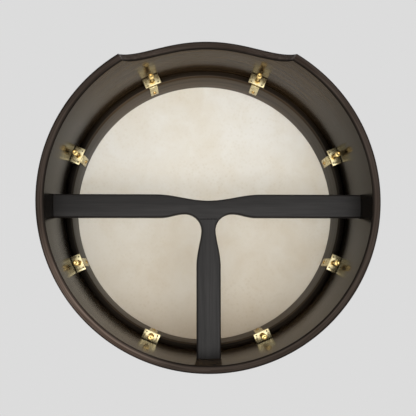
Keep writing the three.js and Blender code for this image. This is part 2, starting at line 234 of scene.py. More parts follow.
def carve(mesh, cutters, sharp_deg=40):
    """The mesh with each cutter mesh cut out of it."""
    body = bpy.data.objects.new("carving", mesh)
    bpy.context.scene.collection.objects.link(body)
    tools = []
    for cutter in cutters:
        tool = bpy.data.objects.new("cutter", cutter)
        bpy.context.scene.collection.objects.link(tool)
        modifier = body.modifiers.new("cut", "BOOLEAN")
        modifier.object = tool
        modifier.solver = "EXACT"
        tools.append(tool)
    bpy.context.view_layer.update()
    carved = bpy.data.meshes.new_from_object(body.evaluated_get(bpy.context.evaluated_depsgraph_get()))
    for used in [body, *tools]:
        bpy.data.objects.remove(used)
    finish_mesh(carved, sharp_deg)
    return carved


def post(radius, start, end, count=24, x=0.0, z=0.0):
    """A cutter: a rod along Y."""
    mesh = spindle("post", [(0, start), (radius, start), (radius, end), (0, end)], count)
    mesh.transform(Matrix.Translation((x, 0, z)))
    return mesh


def block(size, centre):
    bm = bmesh.new()
    bmesh.ops.create_cube(bm, size=1.0, matrix=Matrix.Translation(centre) @ Matrix.Diagonal((*size, 1)))
    mesh = bpy.data.meshes.new("block")
    bm.to_mesh(mesh)
    bm.free()
    return mesh


def two_finishes(mesh, first, second, chosen):
    """Gives a mesh its main finish, and a second one where chosen(radius, face) says so."""
    mesh.materials.append(first)
    mesh.materials.append(second)
    for face in mesh.polygons:
        if chosen(math.hypot(face.center.x, face.center.z), face):
            face.material_index = 1


def show(name, mesh, material, nodes, body=None, turn=0.0):
    """Puts a piece in the scene for the CAD nodes that it stands for."""
    if not mesh.materials:
        mesh.materials.append(material)
    piece = bpy.data.objects.new(name, mesh)
    piece.matrix_world = Matrix.Rotation(turn, 4, "Y")
    bpy.context.scene.collection.objects.link(piece)
    if body:
        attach(piece, body)
    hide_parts(*nodes)
    return piece


# ---- Materials ----

SKIN_DARK = (0.72, 0.655, 0.56)
SKIN_MIDDLE = (0.785, 0.742, 0.668)
SKIN_LIGHT = (0.82, 0.785, 0.725)

# Painted shade multiplied into the skin's colour, darker and warmer towards its foot: from its foot at 0 to
# its top at 1.
SKIN_PAINTED_SHADE = [
    (0.0, (0.53, 0.475, 0.41)),
    (0.25, (0.76, 0.725, 0.68)),
    (0.55, (0.84, 0.82, 0.79)),
    (1.0, (1, 0.99, 0.975)),
]
SKIN_SHADE_FOOT_Z = -0.21
SKIN_SHADE_TOP_Z = 0.12

# The shell's back edge: grey factors from its inner corner at 0 to its outer one at 1 (painted shade on both
# rounded corners, a painted highlight band near the inner one), and the painted highlight on its lower left
# stretch.
EDGE_SHADE_AND_HIGHLIGHT = [(0.0, 0.25), (0.14, 0.3), (0.3, 1.25), (0.5, 1.0), (0.74, 0.9), (0.88, 0.25), (1.0, 0.15)]
EDGE_HIGHLIGHT_DEG = 228
EDGE_HIGHLIGHT_GAIN = 3.4

# The hoops' painted shade at the ends of the crossbar and painted light at the top: a factor for each.
SIDE_PAINTED_SHADE = 0.1
TOP_PAINTED_LIGHT = 1.4
SHEEN_TINT = (1.0, 0.86, 0.70, 1.0)


class Graph:
    """A material's node tree, built node by node."""

    def __init__(self, name):
        self.material = bpy.data.materials.new(name)
        self.material.use_nodes = True
        self.tree = self.material.node_tree
        self.tree.nodes.clear()
        self.shader = self.node("ShaderNodeBsdfPrincipled")
        output = self.node("ShaderNodeOutputMaterial")
        self.link(self.shader.outputs["BSDF"], output.inputs["Surface"])

    def node(self, kind, **settings):
        made = self.tree.nodes.new(kind)
        for key, value in settings.items():
            setattr(made, key, value)
        return made

    def link(self, source, target):
        self.tree.links.new(source, target)

    def set(self, **values):
        for key, value in values.items():
            self.shader.inputs[key.replace("_", " ")].default_value = value

    def math(self, operation, a, b=0.0, c=None):
        made = self.node("ShaderNodeMath", operation=operation)
        for socket, value in zip(made.inputs, (a, b) if c is None else (a, b, c)):
            if isinstance(value, (int, float)):
                socket.default_value = value
            else:
                self.link(value, socket)
        return made.outputs[0]

    def place(self):
        return self.node("ShaderNodeTexCoord").outputs["Object"]

    def scaled(self, vector, scale):
        made = self.node("ShaderNodeVectorMath", operation="MULTIPLY")
        self.link(vector, made.inputs[0])
        made.inputs[1].default_value = scale
        return made.outputs[0]

    def hypot(self, a, b):
        squares = [self.math("MULTIPLY", value, value) for value in (a, b)]
        return self.math("SQRT", self.math("ADD", *squares))

    def round_the_drum(self):
        """Metres round the drum, metres forward and metres out, so that grain can run round a hoop."""
        split = self.node("ShaderNodeSeparateXYZ")
        self.link(self.place(), split.inputs[0])
        x, y, z = split.outputs
        angle = self.math("ARCTAN2", x, z)
        radius = self.hypot(x, z)
        joined = self.node("ShaderNodeCombineXYZ")
        self.link(self.math("MULTIPLY", angle, SHELL_INNER_R), joined.inputs[0])
        self.link(y, joined.inputs[1])
        self.link(radius, joined.inputs[2])
        return joined.outputs[0]

    def noise(self, vector, scale, detail=3.0, roughness=0.5, distortion=0.0):
        made = self.node("ShaderNodeTexNoise")
        made.inputs["Scale"].default_value = scale
        made.inputs["Detail"].default_value = detail
        made.inputs["Roughness"].default_value = roughness
        made.inputs["Distortion"].default_value = distortion
        self.link(vector, made.inputs["Vector"])
        return made.outputs["Fac"]

    def ramp(self, factor, stops):
        made = self.node("ShaderNodeValToRGB")
        elements = made.color_ramp.elements
        while len(elements) < len(stops):
            elements.new(0.5)
        for element, (position, colour) in zip(elements, stops):
            element.position = position
            element.color = (*colour, 1)
        self.link(factor, made.inputs[0])
        return made.outputs["Color"]

    def span(self, factor, low, high):
        made = self.node("ShaderNodeMapRange")
        made.inputs["From Min"].default_value = 0.3
        made.inputs["From Max"].default_value = 0.7
        made.inputs["To Min"].default_value = low
        made.inputs["To Max"].default_value = high
        self.link(factor, made.inputs["Value"])
        return made.outputs["Result"]

    def bump(self, height, depth, strength=1.0, below=None):
        made = self.node("ShaderNodeBump")
        made.inputs["Distance"].default_value = depth
        made.inputs["Strength"].default_value = strength
        self.link(height, made.inputs["Height"])
        if below is not None:
            self.link(below, made.inputs["Normal"])
        return made.outputs["Normal"]


def tinted(graph, tone, factor):
    """The colour times a grey factor."""
    made = graph.node("ShaderNodeVectorMath", operation="MULTIPLY")
    graph.link(tone, made.inputs[0])
    graph.link(factor, made.inputs[1])
    return made.outputs[0]


def from_axis(graph):
    """A point's x, z and distance from the drum axis."""
    split = graph.node("ShaderNodeSeparateXYZ")
    graph.link(graph.place(), split.inputs[0])
    x, _, z = split.outputs
    return x, z, graph.hypot(x, z)


def paint_side_shade_top_light(graph, tone):
    """A hoop's painted light, lighter at the top, and painted shade darkening it at both ends of the
    crossbar.
    """
    x, z, radius = from_axis(graph)
    sides = graph.node("ShaderNodeMapRange", interpolation_type="SMOOTHSTEP")
    sides.inputs["From Min"].default_value = 0.62
    sides.inputs["To Min"].default_value = 1.0
    sides.inputs["To Max"].default_value = SIDE_PAINTED_SHADE
    graph.link(graph.math("DIVIDE", graph.math("ABSOLUTE", x), radius), sides.inputs["Value"])
    top = graph.node("ShaderNodeMapRange")
    top.inputs["To Min"].default_value = 1.0
    top.inputs["To Max"].default_value = TOP_PAINTED_LIGHT
    graph.link(graph.math("DIVIDE", z, radius), top.inputs["Value"])
    return tinted(graph, tinted(graph, tone, sides.outputs["Result"]), top.outputs["Result"])


def paint_edge_light(graph, tone):
    """Painted shade on both corners of the shell's back edge, a painted highlight band near its inner
    corner, and a painted highlight on its lower left stretch.
    """
    x, z, radius = from_axis(graph)
    across = graph.node("ShaderNodeMapRange")
    across.inputs["From Min"].default_value = SHELL_INNER_R
    across.inputs["From Max"].default_value = SHELL_OUTER_R
    graph.link(radius, across.inputs["Value"])
    bands = graph.ramp(across.outputs["Result"], [(share, (tint, tint, tint)) for share, tint in EDGE_SHADE_AND_HIGHLIGHT])
    aim = math.radians(EDGE_HIGHLIGHT_DEG)
    along_x = graph.math("MULTIPLY", x, math.sin(aim))
    along = graph.math("ADD", along_x, graph.math("MULTIPLY", z, math.cos(aim)))
    near = graph.node("ShaderNodeMapRange", interpolation_type="SMOOTHSTEP")
    near.inputs["From Min"].default_value = 0.8
    near.inputs["To Min"].default_value = 1.0
    near.inputs["To Max"].default_value = EDGE_HIGHLIGHT_GAIN
    graph.link(graph.math("DIVIDE", along, radius), near.inputs["Value"])
    return tinted(graph, tinted(graph, tone, bands), near.outputs["Result"])


def stained_wood(name, dark, light, rough, grain, shine, edge_light=False):
    """Stained wood with long fibres, dark pores and broad cloudy bands. grain is "round", "x" or "z"."""
    graph = Graph(name)
    if grain == "round":
        place, stretch = graph.round_the_drum(), (5, 230, 230)
    else:
        place, stretch = graph.place(), (7, 110, 230) if grain == "x" else (230, 110, 7)
    fibres = graph.noise(graph.scaled(place, stretch), 1.0, 6, 0.7, 0.4)
    broad = graph.noise(graph.scaled(place, tuple(s / 8 for s in stretch)), 1.0, 2, 0.5, 0.8)
    pores = graph.noise(graph.scaled(place, tuple(s * 3.5 for s in stretch)), 1.0, 3, 0.55)
    mixed = graph.math("ADD", graph.math("MULTIPLY", fibres, 0.65), graph.math("MULTIPLY", broad, 0.35))
    streak = graph.math("ADD", graph.math("MULTIPLY", mixed, 0.75), graph.math("MULTIPLY", pores, 0.25))
    tone = graph.ramp(streak, [(0.40, dark), (0.60, light)])
    # Painted shade and painted highlights on the shell's back edge.
    if edge_light:
        tone = paint_edge_light(graph, tone)
    # Painted shade at the crossbar's ends and painted light at the top of the other hoops.
    elif grain == "round":
        tone = paint_side_shade_top_light(graph, tone)
    graph.link(tone, graph.shader.inputs["Base Color"])
    graph.link(graph.span(streak, rough * 1.25, rough * 0.8), graph.shader.inputs["Roughness"])
    normal = graph.bump(fibres, 0.0002, 0.5)
    normal = graph.bump(pores, 0.0001, 0.5, normal)
    graph.link(normal, graph.shader.inputs["Normal"])
    graph.set(Specular_IOR_Level=shine)
    if grain == "round":
        graph.set(Specular_Tint=SHEEN_TINT)
    return graph.material


def goatskin():
    """Scraped hide: cream, cloudy, with painted shade darkening it towards its foot, and faint patches of
    small pores.
    """
    graph = Graph("goatskin_hide")
    place = graph.place()
    cloud = graph.noise(place, 3.5, 3, 0.5, 0.6)
    mottle = graph.noise(place, 24, 4, 0.6, 0.5)
    patches = graph.noise(place, 9, 2, 0.5)
    mixed = graph.math("ADD", graph.math("MULTIPLY", cloud, 0.6), graph.math("MULTIPLY", mottle, 0.4))
    tone = graph.ramp(mixed, [(0.36, SKIN_DARK), (0.52, SKIN_MIDDLE), (0.66, SKIN_LIGHT)])
    pores = graph.node("ShaderNodeTexVoronoi", feature="F1")
    pores.inputs["Scale"].default_value = 170
    graph.link(place, pores.inputs["Vector"])
    dots = graph.math("SMOOTH_MIN", pores.outputs["Distance"], 0.45, 0.1)
    shown = graph.span(patches, 0.0, 1.0)
    dark = graph.math("MULTIPLY", graph.math("SUBTRACT", 0.45, dots), shown)
    shade = graph.node("ShaderNodeMix", data_type="RGBA", blend_type="MULTIPLY")
    shade.inputs["Factor"].default_value = 1.0
    graph.link(tone, shade.inputs["A"])
    graph.link(graph.ramp(dark, [(0.0, (1, 1, 1)), (0.42, (0.93, 0.91, 0.87))]), shade.inputs["B"])
    split = graph.node("ShaderNodeSeparateXYZ")
    graph.link(place, split.inputs[0])
    # Painted shade: the skin's colour darkens towards its foot.
    foot = graph.node("ShaderNodeMapRange")
    foot.inputs["From Min"].default_value = SKIN_SHADE_FOOT_Z
    foot.inputs["From Max"].default_value = SKIN_SHADE_TOP_Z
    graph.link(split.outputs[2], foot.inputs["Value"])
    foot_shaded = graph.node("ShaderNodeMix", data_type="RGBA", blend_type="MULTIPLY")
    foot_shaded.inputs["Factor"].default_value = 1.0
    graph.link(shade.outputs["Result"], foot_shaded.inputs["A"])
    graph.link(graph.ramp(foot.outputs["Result"], SKIN_PAINTED_SHADE), foot_shaded.inputs["B"])
    graph.link(foot_shaded.outputs["Result"], graph.shader.inputs["Base Color"])
    graph.link(graph.span(mottle, 0.5, 0.68), graph.shader.inputs["Roughness"])
    normal = graph.bump(mottle, 0.0004, 0.25)
    normal = graph.bump(pores.outputs["Distance"], 0.0001, 0.3, normal)
    graph.link(normal, graph.shader.inputs["Normal"])
    graph.set(Specular_IOR_Level=0.3, Subsurface_Weight=1.0, Subsurface_Scale=0.004)
    graph.shader.inputs["Subsurface Radius"].default_value = (1.0, 0.97, 0.92)
    return graph.material


def brass(name, dark, light, rough, brushed):
    graph = Graph(name)
    place = graph.place()
    stretch = (900, 60, 60) if brushed else (220, 220, 220)
    fine = graph.noise(graph.scaled(place, stretch), 1.0, 3, 0.6)
    tarnish = graph.noise(place, 130, 3, 0.6, 0.4)
    graph.link(graph.ramp(tarnish, [(0.35, dark), (0.6, light)]), graph.shader.inputs["Base Color"])
    blend = graph.math("ADD", graph.math("MULTIPLY", fine, 0.5), graph.math("MULTIPLY", tarnish, 0.5))
    graph.link(graph.span(blend, rough * 0.7, rough * 1.4), graph.shader.inputs["Roughness"])
    graph.link(graph.bump(fine, 0.00003, 0.5), graph.shader.inputs["Normal"])
    graph.set(Metallic=1.0)
    return graph.material


def leather():
    graph = Graph("trim_hide")
    place = graph.place()
    grains = graph.node("ShaderNodeTexVoronoi")
    grains.inputs["Scale"].default_value = 900
    graph.link(place, grains.inputs["Vector"])
    wear = graph.noise(place, 60, 4, 0.6)
    tone = graph.ramp(wear, [(0.35, (0.012, 0.010, 0.009)), (0.7, (0.035, 0.028, 0.024))])
    graph.link(tone, graph.shader.inputs["Base Color"])
    graph.link(graph.span(wear, 0.45, 0.7), graph.shader.inputs["Roughness"])
    graph.link(graph.bump(grains.outputs["Distance"], 0.0002, 0.6), graph.shader.inputs["Normal"])
    return graph.material


BAR_STAIN = (0.0075, 0.0062, 0.0055), (0.016, 0.0135, 0.012)

SHELL_WOOD = stained_wood(
    "shell_wood", dark=(0.014, 0.0075, 0.0035), light=(0.063, 0.040, 0.019), rough=0.2, grain="round",
    shine=0.27,
)
# The shell's back edge: a rougher, greyer wood that carries painted shade on its corners and painted
# highlights.
SHELL_EDGE_WOOD = stained_wood(
    "shell_edge_wood", (0.017, 0.011, 0.008), (0.062, 0.048, 0.040), 0.45, "round", 0.08, edge_light=True
)
RING_WOOD = stained_wood("ring_wood", (0.015, 0.008, 0.004), (0.056, 0.035, 0.018), 0.42, "round", 0.31)
# The ring's back face: a darker, rougher copy of the ring's wood, painted shade for the gap between wall and
# ring.
RING_BACK_SHADED_WOOD = stained_wood(
    "ring_back_painted_shade_wood", (0.008, 0.005, 0.003), (0.020, 0.014, 0.009), 0.55, "round", 0.12
)
CROSSBAR_WOOD = stained_wood("crossbar_wood", *BAR_STAIN, 0.5, "x", 0.3)
STEM_WOOD = stained_wood("stem_wood", *BAR_STAIN, 0.5, "z", 0.3)
HIDE = goatskin()
TRIM = leather()
BRASS_PLATE = brass("brass_sheet", (0.50, 0.40, 0.21), (0.76, 0.67, 0.40), 0.27, True)
BRASS_SCREW = brass("brass_turned", (0.62, 0.42, 0.14), (0.86, 0.63, 0.27), 0.2, False)
BRASS_TACK = brass("brass_tack", (0.42, 0.29, 0.12), (0.66, 0.47, 0.20), 0.3, False)
DARK_STEEL = brass("blackened_steel", (0.03, 0.03, 0.03), (0.06, 0.06, 0.06), 0.4, False)

# ---- Shell ----


def scoop_depth(x):
    share = min(1.0, abs(x) / SCOOP_HALF_WIDTH)
    return SCOOP_DEPTH * (1 - share**5) ** 0.85


def shell_angles():
    """Columns round the shell, closer together where the scoop's ends are steep."""
    end = math.asin(SCOOP_HALF_WIDTH / SHELL_OUTER_R)
    across = [SCOOP_HALF_WIDTH * math.sin(math.pi * (i / 80 - 0.5)) for i in range(81)]
    scoop = [math.asin(x / SHELL_OUTER_R) for x in across]
    rest = [end + (2 * math.pi - 2 * end) * i / 200 for i in range(1, 200)]
    return [angle + SCOOP_TURN for angle in scoop + rest]


def make_shell():
    back, front, edge = SHELL_BACK_Y, SHELL_FRONT_Y, SHELL_EDGE_ROUND
    outer = arc(SHELL_OUTER_R - edge, back + edge, edge, 0, -90, 6)
    inner = arc(SHELL_INNER_R + edge, back + edge, edge, -90, -180, 6)
    rows = [back + edge + (front - back) * share for share in (0.3, 0.6, 0.9)]
    wall_in = [(SHELL_INNER_R, y) for y in rows]
    lip = arc(SHELL_INNER_R + MM, front - MM, MM, 180, 90, 2)
    lip += arc(SHELL_OUTER_R - MM, front - MM, MM, 90, 0, 2)
    wall_out = [(SHELL_OUTER_R, y) for y in reversed(rows)]
    section = outer + inner + wall_in + lip + wall_out
    moving = len(outer) + len(inner)

    def place(radius, y, angle, i):
        across = SHELL_OUTER_R * math.sin(angle - SCOOP_TURN)
        low = scoop_depth(across) if math.cos(angle) > 0 else 0.0
        deep = low if i < moving else 0.0
        if i >= moving and y < back + edge + low:
            y = back + edge + low + 2 * MM
        return radius, y + deep

    mesh = revolve("shell", section, shell_angles(), place, 50)

    def back_edge(radius, face):
        between_walls = SHELL_INNER_R + 0.15 * MM < radius < SHELL_OUTER_R - 0.15 * MM
        return between_walls and face.center.y < front - 5 * MM

    # The back edge's finish carries painted shade on its corners and painted highlights.
    two_finishes(mesh, SHELL_WOOD, SHELL_EDGE_WOOD, back_edge)
    show("shell", mesh, SHELL_WOOD, ["frame_shell"], "frame")


# ---- T-bar ----

BAR_TOP_Z = BAR_HI.z
BAR_BOTTOM_Z = -18.3 * MM
BAR_THICKNESS = BAR_HI.y - BAR_LO.y
BAR_END_R = SHELL_INNER_R - 0.4 * MM
DIP_DEPTH = 8.8 * MM
DIP_HALF_WIDTH = 75 * MM
ARCH_R = 23.7 * MM
ARCH_X = 33.7 * MM
ARCH_Z = -36.7 * MM
ARCH_RUNOUT_X = 68 * MM
STEM_HALF_WIDTH = STEM_HI.x
STEM_FULL_Z = -88 * MM
BAR_EDGE_ROUND = 3 * MM
SEAM_TOP_Z = BAR_LO.z


def underside():
    """Half of the T's lower outline, from the crossbar's end round the arch and down the stem."""
    arch_top = ARCH_Z + ARCH_R
    points = []
    for i in range(17):
        t = i / 16
        lift = (1 - math.cos(math.pi * t)) / 2
        x = ARCH_RUNOUT_X + (ARCH_X - ARCH_RUNOUT_X) * t
        points.append((x, BAR_BOTTOM_Z + (arch_top - BAR_BOTTOM_Z) * lift))
    points += arc(ARCH_X, ARCH_Z, ARCH_R, 90, 180, 24)[1:]
    neck = ARCH_X - ARCH_R
    for i in range(1, 17):
        t = i / 16
        widen = math.sin(math.pi / 2 * t) ** 1.5
        points.append((neck + (STEM_HALF_WIDTH - neck) * widen, ARCH_Z + (STEM_FULL_Z - ARCH_Z) * t))
    return points


def on_wall(z):
    return math.sqrt(BAR_END_R**2 - z * z)


def flat_cut(point):
    """Whether a corner of the bar's outline lies on the wall or on the seam, where the edge stays sharp."""
    x, z = point
    return math.hypot(x, z) > BAR_END_R - 0.05 * MM or abs(z - SEAM_TOP_Z) < 0.01 * MM


def make_t_bar():
    seam_x = next(x for x, z in underside() if z <= SEAM_TOP_Z)
    upper = [p for p in underside() if p[1] > SEAM_TOP_Z] + [(seam_x, SEAM_TOP_Z)]
    ends = [(on_wall(z), z) for z in (BAR_BOTTOM_Z + (BAR_TOP_Z - BAR_BOTTOM_Z) * i / 6 for i in range(7))]
    dip = []
    for i in range(33):
        x = DIP_HALF_WIDTH * (1 - i / 16)
        dip.append((x, BAR_TOP_Z - DIP_DEPTH * (1 + math.cos(math.pi * x / DIP_HALF_WIDTH)) / 2))
    left = [(-x, z) for x, z in reversed(ends)]
    crossbar = ends + dip + left + [(-x, z) for x, z in upper] + list(reversed(upper))

    mesh = prism("crossbar", crossbar, BAR_THICKNESS, BAR_LO.y, flat_cut, BAR_EDGE_ROUND, 5)
    show("t_bar_crossbar_wood", mesh, CROSSBAR_WOOD, ["t_bar_crossbar"], "frame")

    lower = [(seam_x, SEAM_TOP_Z)] + [p for p in underside() if p[1] < SEAM_TOP_Z]
    foot = []
    for i in range(7):
        x = STEM_HALF_WIDTH * (1 - i / 3)
        foot.append((x, -on_wall(x)))
    stem = lower + foot + [(-x, z) for x, z in reversed(lower)]

    mesh = prism("stem", stem, BAR_THICKNESS, STEM_LO.y, flat_cut, BAR_EDGE_ROUND, 5)
    show("t_bar_stem_wood", mesh, STEM_WOOD, ["t_bar_stem"], "frame")


def make_bar_screws():
    """Blackened countersunk screws, their heads just under the shell's outside."""
    head_r, shank_r, length = 4.4 * MM, 2.1 * MM, 31 * MM
    edge, cone_depth = 0.4 * MM, 2.6 * MM
    outline = [(0, 0), (head_r - edge, 0), (head_r, -edge)]
    outline += [(shank_r, -cone_depth), (shank_r, -length), (0, -length)]
    head = spindle("bar_screw", outline, 40)
    slots = [block((5 * MM, 2.4 * MM, 0.9 * MM), (0, 0, 0)), block((0.9 * MM, 2.4 * MM, 5 * MM), (0, 0, 0))]
    head = carve(head, slots)
    head.transform(Matrix.Rotation(math.pi / 2, 4, "X"))
    lift = (BAR_LO.y + BAR_HI.y) / 2
    for end, angle in (("left", -math.pi / 2), ("right", math.pi / 2), ("bottom", math.pi)):
        node = f"t_bar_screw_{end}"
        low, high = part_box(node)
        mesh = head.copy()
        mesh.transform(Matrix.Translation((0, lift, SHELL_OUTER_R + 0.15 * MM)))
        mesh.transform(Matrix.Rotation(angle, 4, "Y"))
        if end != "bottom":
            mesh.transform(Matrix.Translation((0, 0, (low.z + high.z) / 2)))
        show(f"{node}_head", mesh, DARK_STEEL, [node], "frame")


# ---- Ring and skin ----


def make_ring():
    back, front, inner, outer = RING_BACK_Y, RING_FRONT_Y, RING_INNER_R, RING_OUTER_R
    section = (
        arc(outer - 1.2 * MM, back + 1.2 * MM, 1.2 * MM, 0, -90, 4)
        + arc(inner + 4 * MM, back + 4 * MM, 4 * MM, -90, -180, 8)
        + arc(inner + 2 * MM, front - 2 * MM, 2 * MM, 180, 90, 4)
        + arc(outer - 2.5 * MM, front - 2.5 * MM, 2.5 * MM, 90, 0, 5)
    )
    mesh = revolve("ring", section, even_turns(240), None, 50)
    # Painted shade: the ring's back face takes the darker finish.
    two_finishes(mesh, RING_WOOD, RING_BACK_SHADED_WOOD, lambda radius, face: face.normal.y < -0.9)
    show("tuning_ring_wood", mesh, RING_WOOD, ["tuning_ring"], "tuning_ring")


def skin_path():
    """The skin's inner face, from near the middle, over the ring and shell, to its hem, as (radius, y)."""
    back = HEAD_LO.y
    path = [(216 * MM * i / 54, back) for i in range(1, 54)]
    path += [(213.5 * MM, back), (215.2 * MM, back - 0.25 * MM)]
    corner_r, corner_y = SHELL_OUTER_R - 1.5 * MM, SHELL_FRONT_Y - 1.5 * MM
    bend = arc(corner_r, corner_y, 1.9 * MM, 80, 0, 6)
    start = path[-1]
    for i in range(1, 5):
        share = i / 5
        path.append((start[0] + (bend[0][0] - start[0]) * share, start[1] + (bend[0][1] - start[1]) * share))
    path += bend
    path += [(bend[-1][0], bend[-1][1] + (SKIRT_LO.y - bend[-1][1]) * i / 12) for i in range(1, 13)]
    return path


def make_skin():
    thick = 0.9 * MM
    inner = skin_path()
    outer = []
    for i, (radius, y) in enumerate(inner):
        before, after = inner[max(0, i - 1)], inner[min(len(inner) - 1, i + 1)]
        along = Vector((after[0] - before[0], after[1] - before[1])).normalized()
        outer.append((radius - along.y * thick, y + along.x * thick))
    hem_start, rim_y = SHELL_FRONT_Y, SKIRT_LO.y

    def place(radius, y, angle, i):
        spot = Vector((radius * math.sin(angle), 0, radius * math.cos(angle)))
        if y > hem_start:
            fade = min(1.0, (RING_INNER_R - radius) / (12 * MM)) if radius < RING_INNER_R else 0.0
            return radius, y + 0.22 * MM * fade * noise.noise(spot * 14)
        share = (hem_start - y) / (hem_start - rim_y)
        pucker = noise.noise(Vector((math.sin(angle) * 22, math.cos(angle) * 22, y * 18)))
        return radius + 0.35 * MM * share * (0.5 + pucker), y

    count, rows = 240, len(inner)
    points = []
    for side in (inner, outer):
        for j in range(count):
            angle = 2 * math.pi * j / count
            for i, (radius, y) in enumerate(side):
                r, v = place(radius, y, angle, i)
                points.append((r * math.sin(angle), v, r * math.cos(angle)))
    middles = [len(points), len(points) + 1]
    points += [(0, inner[0][1], 0), (0, outer[0][1], 0)]
    faces = []
    for side in (0, 1):
        base = side * count * rows
        for j in range(count):
            a, b = base + j * rows, base + ((j + 1) % count) * rows
            faces.append((middles[side], a, b))
            faces += [(a + i, a + i + 1, b + i + 1, b + i) for i in range(rows - 1)]
    for j in range(count):
        a, b = j * rows + rows - 1, ((j + 1) % count) * rows + rows - 1
        faces.append((a, a + count * rows, b + count * rows, b))
    mesh = mesh_of("skin", points, faces, 60)
    skin = show("goatskin_head", mesh, HIDE, ["skin_head", "skin_skirt"])
    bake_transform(skin)


def make_trim():
    low, high, outer = TRIM_LO.y, TRIM_HI.y, TRIM_HI.x
    inner = outer - 1.2 * MM
    middle = (low + high) / 2
    section = (
        [(inner, high), (inner, low)]
        + [(outer - 0.35 * MM, low), (outer, low + 0.5 * MM), (outer + 0.1 * MM, middle)]
        + [(outer, high - 0.5 * MM), (outer - 0.35 * MM, high)]
    )
    mesh = revolve("trim", section, even_turns(240), None, 50)
    show("trim_band", mesh, TRIM, ["skin_trim_band"], "frame")
    dome_r, dome_h, count = 4.4 * MM, 2.2 * MM, 44
    outline = [(0, dome_h)] + [
        (dome_r * math.sin(math.radians(a)), dome_h * math.cos(math.radians(a))) for a in range(12, 91, 13)
    ] + [(dome_r, -0.3 * MM), (0, -0.3 * MM)]
    tack = spindle("tack", outline, 24)
    tack.transform(Matrix.Rotation(math.pi / 2, 4, "X"))
    tack.transform(Matrix.Translation((0, middle, outer + 0.3 * MM)))
    bm = bmesh.new()
    for angle in even_turns(count):
        copy = tack.copy()
        copy.transform(Matrix.Rotation(angle + math.pi / count, 4, "Y"))
        bm.from_mesh(copy)
    mesh = bpy.data.meshes.new("tacks")
    bm.to_mesh(mesh)
    bm.free()
    finish_mesh(mesh, 50)
    mesh.materials.append(BRASS_TACK)
    tacks = bpy.data.objects.new("trim_tacks", mesh)
    bpy.context.scene.collection.objects.link(tacks)
    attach(tacks, "frame")


# ---- Tuning stations, built at the top of the drum and turned into place ----

BRACKET_WIDTH = 25 * MM
BRACKET_THICKNESS = 2.5 * MM
BRACKET_WALL_Z = 216.7 * MM
BRACKET_INNER_Z = 202.4 * MM
BRACKET_BACK_Y = 45 * MM
BRACKET_LEG_Y = 61 * MM
BRACKET_SCREW_Y = 54.5 * MM
LIP_BACK_Y = 63.2 * MM
RING_PLATE_INNER_Z = 204.9 * MM
RING_PLATE_OUTER_Z = 206.4 * MM
RING_PLATE_END_Y = 93.2 * MM
RING_PLATE_WIDTH = 13 * MM
LIP_OUTER_Z = 213.5 * MM
RING_SCREW_Y = 83.2 * MM
SCREW_TIP_Y = 62.9 * MM
SCREW_HEAD_Y = 22.9 * MM
CORNER_HOLE_R = 1.2 * MM
CORNER_HOLE_X = 8.6 * MM
CORNER_HOLE_INSET = 2.8 * MM
SCREW_HOLE_R = 2.75 * MM
BEND_ANGLES = (0, 0.4, 0.8, 1.2, math.pi / 2)
M5_R = 2.5 * MM
M5_PITCH = 0.8 * MM
CAP_R = 4.25 * MM
CAP_HEIGHT = 5 * MM
SOCKET_R = 2.3 * MM


def bracket_mesh():
    back, front = BRACKET_BACK_Y, BRACKET_BACK_Y + BRACKET_THICKNESS
    leg_z = BRACKET_WALL_Z - BRACKET_THICKNESS
    bend, crotch = 1.2 * MM, 0.8 * MM
    outline = [(BRACKET_INNER_Z, front), (BRACKET_INNER_Z, back)]
    for a in BEND_ANGLES:
        outline.append((BRACKET_WALL_Z - bend + bend * math.sin(a), back + bend - bend * math.cos(a)))
    outline += [(BRACKET_WALL_Z, BRACKET_LEG_Y), (leg_z, BRACKET_LEG_Y)]
    outline += [(leg_z, front + crotch), (leg_z - crotch, front)]
    mesh = strip("bracket", outline, BRACKET_WIDTH, 0.35 * MM, SHELL_INNER_R - 0.12 * MM)
    corner_z = BRACKET_INNER_Z + CORNER_HOLE_INSET
    corners_x = (-CORNER_HOLE_X, CORNER_HOLE_X)
    holes = [post(CORNER_HOLE_R, back - MM, front + MM, 20, x, corner_z) for x in corners_x]
    holes.append(post(SCREW_HOLE_R, back - MM, front + MM, 28, 0, TUNING_SCREW_RADIUS))
    return carve(mesh, holes)


def nut_mesh():
    """A hexagon nut, its corners chamfered by a cone on both faces."""
    front = BRACKET_BACK_Y - 0.3 * MM
    back = front - 4 * MM
    flat, bore = 4 * MM, 2.65 * MM

    def hexagon(radius, y, angle, i):
        turn = (angle % (math.pi / 3)) - math.pi / 6
        side = flat / math.cos(turn)
        return (min(radius, side) if radius > bore + 0.5 * MM else radius), y

    cone, corner = 4.05 * MM, 4.7 * MM
    section = [
        (bore, back + 0.3 * MM), (bore + 0.35 * MM, back), (cone, back), (corner, back + 0.45 * MM),
        (corner, front - 0.45 * MM), (cone, front), (bore + 0.35 * MM, front), (bore, front - 0.3 * MM),
    ]
    mesh = revolve("nut", section, even_turns(72), hexagon, 25)
    mesh.transform(Matrix.Translation((0, 0, TUNING_SCREW_RADIUS)))
    return mesh


